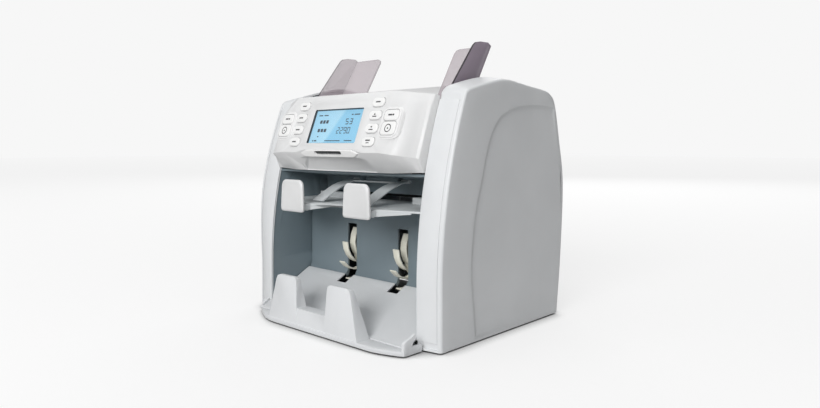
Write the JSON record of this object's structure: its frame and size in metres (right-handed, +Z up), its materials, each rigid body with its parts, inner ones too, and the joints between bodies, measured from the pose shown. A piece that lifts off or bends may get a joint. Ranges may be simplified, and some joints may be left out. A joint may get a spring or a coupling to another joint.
{
  "type": "banknote counting machine",
  "caption": "Desktop banknote counter with a sloped hopper, leaning key and display panel, reject pocket and open front stacker between two broad curved side covers.",
  "frame": {"origin": "on the table, under the middle of the machine's outer box", "axes": "+X to the machine's right seen from the front, +Y to its back, +Z up"},
  "size_m": [0.2728, 0.2406, 0.2815],
  "materials": {
    "casing_white": "satin injection moulding",
    "panel_white": "fine matt grain",
    "tray_grey_white": "satin injection moulding",
    "slate_plastic": "satin dark blue-grey",
    "key_white": "satin moulded key caps",
    "blue_screen": "lit light-blue liquid-crystal face",
    "clear_window": "clear polished pane",
    "smoked_plastic": "smoky translucent moulding with darker edges",
    "frosted_plastic": "light grey frosted translucent moulding",
    "cream_rubber": "cream soft fingers",
    "black_rubber": "black rubber",
    "black_plastic": "black satin plastic",
    "steel": "zinc-plated sheet and turned parts",
    "circuit_board": "green solder mask"
  },
  "bodies": {
    "chassis": {"base_pan": "steel", "control_panel": "panel_white", "display_window": "clear_window", "drive_belt": "black_rubber", "foot_1": "black_rubber", "foot_2": "black_rubber", "foot_3": "black_rubber", "foot_4": "black_rubber", "front_tray": "tray_grey_white", "guide_rail": "steel", "hopper": "panel_white", "keypad_board": "circuit_board", "lcd_module": "blue_screen", "left_front_trim": "casing_white", "left_key_bezel": "panel_white", "left_side_cover": "casing_white", "left_side_frame": "slate_plastic", "main_board": "circuit_board", "main_motor": "steel", "pocket_roof": "slate_plastic", "power_inlet": "black_plastic", "power_supply": "steel", "rear_panel": "casing_white", "reject_shelf": "frosted_plastic", "right_front_trim": "casing_white", "right_key_bezel": "panel_white", "right_side_cover": "casing_white", "right_side_frame": "slate_plastic", "sensor_bar": "black_plastic", "stacker_back_plate": "slate_plastic", "stacker_floor": "tray_grey_white", "status_window": "black_plastic"},
    "left_key_1": {"left_key_1": "key_white"},
    "left_key_2": {"left_key_2": "key_white"},
    "left_key_3": {"left_key_3": "key_white"},
    "left_key_4": {"left_key_4": "key_white"},
    "left_pad_upper_key": {"left_pad_upper_key": "key_white"},
    "left_pad_lower_key": {"left_pad_lower_key": "key_white"},
    "right_key_1": {"right_key_1": "key_white"},
    "right_key_2": {"right_key_2": "key_white"},
    "right_key_3": {"right_key_3": "key_white"},
    "right_key_4": {"right_key_4": "key_white"},
    "right_pad_upper_key": {"right_pad_upper_key": "key_white"},
    "right_pad_lower_key": {"right_pad_lower_key": "key_white"},
    "left_reject_stop": {"left_reject_stop": "panel_white"},
    "right_reject_stop": {"right_reject_stop": "panel_white"},
    "reject_press_guide": {"reject_press_guide": "frosted_plastic"},
    "transport_rollers": {"transport_roller_shaft": "black_rubber"},
    "motor_drive": {"motor_pulley": "steel"},
    "feed_rollers": {"feed_roller_shaft": "black_rubber"},
    "pickup_rollers": {"pickup_roller_shaft": "black_rubber"},
    "stacker_rotor": {"stacker_shaft": "steel", "left_stacker_wheel": "cream_rubber", "right_stacker_wheel": "cream_rubber"},
    "retard_roller": {"retard_roller": "black_rubber"},
    "diverter_gate": {"diverter_gate": "black_plastic"},
    "right_bill_guide": {"right_bill_guide": "smoked_plastic"},
    "left_bill_guide": {"left_bill_guide": "smoked_plastic"},
    "rear_door": {"rear_door": "casing_white"},
    "power_switch": {"power_switch": "black_plastic"}
  },
  "joints": [
    {"name": "left_key_1_press", "type": "slide", "parent": "chassis", "child": "left_key_1", "axis": [0, 0.9346, -0.3556], "range_m": [0, 0.001], "stiffness_N_per_m": 300, "springref_m": -0.0005},
    {"name": "left_key_2_press", "type": "slide", "parent": "chassis", "child": "left_key_2", "axis": [0, 0.9346, -0.3556], "range_m": [0, 0.001], "stiffness_N_per_m": 300, "springref_m": -0.0005},
    {"name": "left_key_3_press", "type": "slide", "parent": "chassis", "child": "left_key_3", "axis": [0, 0.9346, -0.3556], "range_m": [0, 0.001], "stiffness_N_per_m": 300, "springref_m": -0.0005},
    {"name": "left_key_4_press", "type": "slide", "parent": "chassis", "child": "left_key_4", "axis": [0, 0.9346, -0.3556], "range_m": [0, 0.001], "stiffness_N_per_m": 300, "springref_m": -0.0005},
    {"name": "left_pad_upper_key_press", "type": "slide", "parent": "chassis", "child": "left_pad_upper_key", "axis": [0, 0.9346, -0.3556], "range_m": [0, 0.001], "stiffness_N_per_m": 300, "springref_m": -0.0005},
    {"name": "left_pad_lower_key_press", "type": "slide", "parent": "chassis", "child": "left_pad_lower_key", "axis": [0, 0.9346, -0.3556], "range_m": [0, 0.001], "stiffness_N_per_m": 300, "springref_m": -0.0005},
    {"name": "right_key_1_press", "type": "slide", "parent": "chassis", "child": "right_key_1", "axis": [0, 0.9346, -0.3556], "range_m": [0, 0.001], "stiffness_N_per_m": 300, "springref_m": -0.0005},
    {"name": "right_key_2_press", "type": "slide", "parent": "chassis", "child": "right_key_2", "axis": [0, 0.9346, -0.3556], "range_m": [0, 0.001], "stiffness_N_per_m": 300, "springref_m": -0.0005},
    {"name": "right_key_3_press", "type": "slide", "parent": "chassis", "child": "right_key_3", "axis": [0, 0.9346, -0.3556], "range_m": [0, 0.001], "stiffness_N_per_m": 300, "springref_m": -0.0005},
    {"name": "right_key_4_press", "type": "slide", "parent": "chassis", "child": "right_key_4", "axis": [0, 0.9346, -0.3556], "range_m": [0, 0.001], "stiffness_N_per_m": 300, "springref_m": -0.0005},
    {"name": "right_pad_upper_key_press", "type": "slide", "parent": "chassis", "child": "right_pad_upper_key", "axis": [0, 0.9346, -0.3556], "range_m": [0, 0.001], "stiffness_N_per_m": 300, "springref_m": -0.0005},
    {"name": "right_pad_lower_key_press", "type": "slide", "parent": "chassis", "child": "right_pad_lower_key", "axis": [0, 0.9346, -0.3556], "range_m": [0, 0.001], "stiffness_N_per_m": 300, "springref_m": -0.0005},
    {"name": "left_reject_stop_tip", "type": "hinge", "parent": "chassis", "child": "left_reject_stop", "pos_m": [-0.048, -0.0976, 0.116], "axis": [1, 0, 0], "range_deg": [0, 80]},
    {"name": "right_reject_stop_tip", "type": "hinge", "parent": "chassis", "child": "right_reject_stop", "pos_m": [0.048, -0.0976, 0.116], "axis": [1, 0, 0], "range_deg": [0, 80]},
    {"name": "reject_press_guide_lift", "type": "hinge", "parent": "chassis", "child": "reject_press_guide", "pos_m": [0, -0.025, 0.1414], "axis": [-1, 0, 0], "range_deg": [0, 18]},
    {"name": "transport_spin", "type": "hinge", "parent": "chassis", "child": "transport_rollers", "pos_m": [0, 0.045, 0.15], "axis": [1, 0, 0], "continuous": true},
    {"name": "motor_spin", "type": "hinge", "parent": "chassis", "child": "motor_drive", "pos_m": [0, 0.06, 0.04], "axis": [1, 0, 0], "continuous": true},
    {"name": "feed_spin", "type": "hinge", "parent": "chassis", "child": "feed_rollers", "pos_m": [0, -0.022, 0.18], "axis": [1, 0, 0], "continuous": true},
    {"name": "pickup_spin", "type": "hinge", "parent": "chassis", "child": "pickup_rollers", "pos_m": [0, -0.0424, 0.1953], "axis": [1, 0, 0], "continuous": true},
    {"name": "stacker_spin", "type": "hinge", "parent": "chassis", "child": "stacker_rotor", "pos_m": [0, -0.012, 0.058], "axis": [1, 0, 0], "continuous": true},
    {"name": "retard_spin", "type": "hinge", "parent": "chassis", "child": "retard_roller", "pos_m": [0, -0.0035, 0.1875], "axis": [1, 0, 0], "continuous": true},
    {"name": "diverter_gate_swing", "type": "hinge", "parent": "chassis", "child": "diverter_gate", "pos_m": [0, 0.012, 0.112], "axis": [1, 0, 0], "range_deg": [-6, 10]},
    {"name": "right_bill_guide_slide", "type": "slide", "parent": "chassis", "child": "right_bill_guide", "axis": [-1, 0, 0], "range_m": [0, 0.035]},
    {"name": "left_bill_guide_slide", "type": "slide", "parent": "chassis", "child": "left_bill_guide", "axis": [1, 0, 0], "range_m": [0, 0.035]},
    {"name": "rear_door_swing", "type": "hinge", "parent": "chassis", "child": "rear_door", "pos_m": [0, 0.1106, 0.0975], "axis": [-1, 0, 0], "range_deg": [0, 75]},
    {"name": "power_switch_rock", "type": "hinge", "parent": "chassis", "child": "power_switch", "pos_m": [-0.066, 0.1046, 0.034], "axis": [1, 0, 0], "range_deg": [0, 8]}
  ],
  "couplings": [
    {"joint": "motor_spin", "follows": "transport_spin", "ratio": 1.5},
    {"joint": "feed_spin", "follows": "transport_spin", "ratio": 1.2},
    {"joint": "pickup_spin", "follows": "transport_spin", "ratio": 1.5},
    {"joint": "stacker_spin", "follows": "transport_spin", "ratio": 0.85714},
    {"joint": "left_bill_guide_slide", "follows": "right_bill_guide_slide", "ratio": 1}
  ]
}
